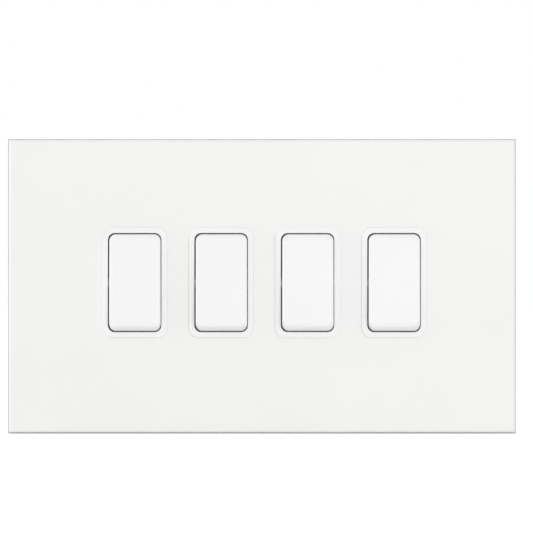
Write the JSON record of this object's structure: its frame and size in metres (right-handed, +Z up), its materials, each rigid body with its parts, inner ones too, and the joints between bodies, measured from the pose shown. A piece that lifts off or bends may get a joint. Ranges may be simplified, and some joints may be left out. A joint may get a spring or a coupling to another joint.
{
  "type": "rocker light switch",
  "caption": "Flat white wall plate with a row of white rocker light switches, clipped over a steel frame that screws to a wall box.",
  "frame": {"origin": "on the wall plane, midway between the two slots for the box screws, at the middle of the plate", "axes": "X across the plate to the right as seen from the room, +Y into the wall, Z up; the front faces -Y"},
  "size_m": [0.15, 0.0263, 0.087],
  "materials": {
    "cover_coating": "matt white powder coat",
    "frame_plastic": "light grey moulding",
    "plated_sheet": "zinc plated",
    "terminal_brass": "bright brass",
    "rocker_plastic": "satin white",
    "bezel_plastic": "satin white",
    "base_plastic": "matt white moulding",
    "plunger_nylon": "natural nylon",
    "spring_steel": "drawn spring wire",
    "contact_silver": "silver"
  },
  "bodies": {
    "switch_body": {"cover_plate": "cover_coating", "clip_frame": "frame_plastic", "mounting_frame": "plated_sheet", "earth_terminal": "terminal_brass", "bezel_1": "bezel_plastic", "base_1": "base_plastic", "common_terminal_1": "terminal_brass", "first_way_terminal_1": "terminal_brass", "second_way_terminal_1": "terminal_brass", "fixed_contacts_1": "contact_silver", "bezel_2": "bezel_plastic", "base_2": "base_plastic", "common_terminal_2": "terminal_brass", "first_way_terminal_2": "terminal_brass", "second_way_terminal_2": "terminal_brass", "fixed_contacts_2": "contact_silver", "bezel_3": "bezel_plastic", "base_3": "base_plastic", "common_terminal_3": "terminal_brass", "first_way_terminal_3": "terminal_brass", "second_way_terminal_3": "terminal_brass", "fixed_contacts_3": "contact_silver", "bezel_4": "bezel_plastic", "base_4": "base_plastic", "common_terminal_4": "terminal_brass", "first_way_terminal_4": "terminal_brass", "second_way_terminal_4": "terminal_brass", "fixed_contacts_4": "contact_silver"},
    "rocker_1": {"rocker_1": "rocker_plastic", "plunger_spring_1": "spring_steel"},
    "plunger_1": {"plunger_1": "plunger_nylon"},
    "lever_1": {"contact_lever_1": "terminal_brass", "lever_contacts_1": "contact_silver"},
    "rocker_2": {"rocker_2": "rocker_plastic", "plunger_spring_2": "spring_steel"},
    "plunger_2": {"plunger_2": "plunger_nylon"},
    "lever_2": {"contact_lever_2": "terminal_brass", "lever_contacts_2": "contact_silver"},
    "rocker_3": {"rocker_3": "rocker_plastic", "plunger_spring_3": "spring_steel"},
    "plunger_3": {"plunger_3": "plunger_nylon"},
    "lever_3": {"contact_lever_3": "terminal_brass", "lever_contacts_3": "contact_silver"},
    "rocker_4": {"rocker_4": "rocker_plastic", "plunger_spring_4": "spring_steel"},
    "plunger_4": {"plunger_4": "plunger_nylon"},
    "lever_4": {"contact_lever_4": "terminal_brass", "lever_contacts_4": "contact_silver"}
  },
  "joints": [
    {"name": "rocker_hinge_1", "type": "hinge", "parent": "switch_body", "child": "rocker_1", "pos_m": [-0.0376, -0.003, 0.0011], "axis": [1, 0, 0], "range_deg": [0, 12]},
    {"name": "plunger_slide_1", "type": "slide", "parent": "rocker_1", "child": "plunger_1", "axis": [0, -0.9945, 0.1045], "range_m": [0, 0.0008], "stiffness_N_per_m": 800, "springref_m": -0.003, "deforming": ["plunger_spring_1"]},
    {"name": "lever_hinge_1", "type": "hinge", "parent": "switch_body", "child": "lever_1", "pos_m": [-0.0376, 0.007, 0.0011], "axis": [1, 0, 0], "range_deg": [-16, 0]},
    {"name": "rocker_hinge_2", "type": "hinge", "parent": "switch_body", "child": "rocker_2", "pos_m": [-0.01206, -0.003, 0.0011], "axis": [1, 0, 0], "range_deg": [0, 12]},
    {"name": "plunger_slide_2", "type": "slide", "parent": "rocker_2", "child": "plunger_2", "axis": [0, -0.9945, 0.1045], "range_m": [0, 0.0008], "stiffness_N_per_m": 800, "springref_m": -0.003, "deforming": ["plunger_spring_2"]},
    {"name": "lever_hinge_2", "type": "hinge", "parent": "switch_body", "child": "lever_2", "pos_m": [-0.01206, 0.007, 0.0011], "axis": [1, 0, 0], "range_deg": [-16, 0]},
    {"name": "rocker_hinge_3", "type": "hinge", "parent": "switch_body", "child": "rocker_3", "pos_m": [0.01346, -0.003, 0.0011], "axis": [1, 0, 0], "range_deg": [0, 12]},
    {"name": "plunger_slide_3", "type": "slide", "parent": "rocker_3", "child": "plunger_3", "axis": [0, -0.9945, 0.1045], "range_m": [0, 0.0008], "stiffness_N_per_m": 800, "springref_m": -0.003, "deforming": ["plunger_spring_3"]},
    {"name": "lever_hinge_3", "type": "hinge", "parent": "switch_body", "child": "lever_3", "pos_m": [0.01346, 0.007, 0.0011], "axis": [1, 0, 0], "range_deg": [-16, 0]},
    {"name": "rocker_hinge_4", "type": "hinge", "parent": "switch_body", "child": "rocker_4", "pos_m": [0.039, -0.003, 0.0011], "axis": [1, 0, 0], "range_deg": [0, 12]},
    {"name": "plunger_slide_4", "type": "slide", "parent": "rocker_4", "child": "plunger_4", "axis": [0, -0.9945, 0.1045], "range_m": [0, 0.0008], "stiffness_N_per_m": 800, "springref_m": -0.003, "deforming": ["plunger_spring_4"]},
    {"name": "lever_hinge_4", "type": "hinge", "parent": "switch_body", "child": "lever_4", "pos_m": [0.039, 0.007, 0.0011], "axis": [1, 0, 0], "range_deg": [-16, 0]}
  ],
  "couplings": [
    {"joint": "lever_hinge_1", "follows": "rocker_hinge_1", "ratio": -1.3333},
    {"joint": "lever_hinge_2", "follows": "rocker_hinge_2", "ratio": -1.3333},
    {"joint": "lever_hinge_3", "follows": "rocker_hinge_3", "ratio": -1.3333},
    {"joint": "lever_hinge_4", "follows": "rocker_hinge_4", "ratio": -1.3333}
  ]
}
